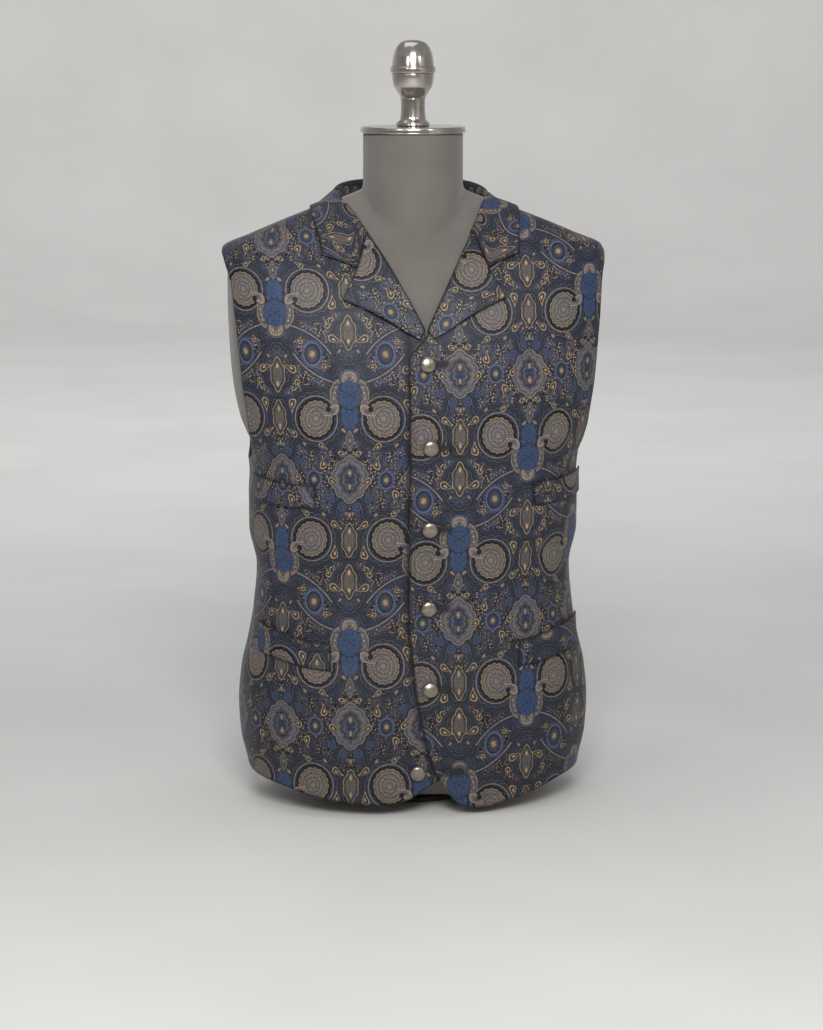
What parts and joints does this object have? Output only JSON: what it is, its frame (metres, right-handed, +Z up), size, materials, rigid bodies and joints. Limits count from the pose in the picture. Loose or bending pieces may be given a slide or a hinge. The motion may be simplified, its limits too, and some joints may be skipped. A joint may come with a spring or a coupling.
{
  "type": "brocade vest on a dress form",
  "caption": "Notched-lapel brocade vest with welt pockets and metal buttons, worn by a limbless countertop dress form with a metal finial.",
  "frame": {"origin": "middle of the foot's underside, where the dress form stands", "axes": "+Z up the form, -Y out of the front, +X to the wearer's left"},
  "size_m": [0.418, 0.245, 0.8326],
  "materials": {
    "brocade": "woven paisley brocade in navy, slate blue, tan and brown with a satin sheen",
    "back_satin": "plain dark satin",
    "pewter": "satin pewter with darkened rims",
    "form_jersey": "smooth grey knitted jersey",
    "form_metal": "softly worn chrome",
    "foot_paint": "dark painted wood"
  },
  "bodies": {
    "root": {"front_left": "brocade", "front_right": "brocade", "back_left": "back_satin", "back_right": "back_satin", "lapel_left": "brocade", "lapel_right": "brocade", "collar": "brocade", "upper_welt_left": "brocade", "upper_welt_right": "brocade", "lower_welt_left": "brocade", "lower_welt_right": "brocade", "button_1": "pewter", "button_2": "pewter", "button_3": "pewter", "button_4": "pewter", "button_5": "pewter", "button_6": "pewter", "form_body": "form_jersey", "neck_cap": "form_metal", "finial": "form_metal", "foot": "foot_paint"}
  },
  "joints": []
}
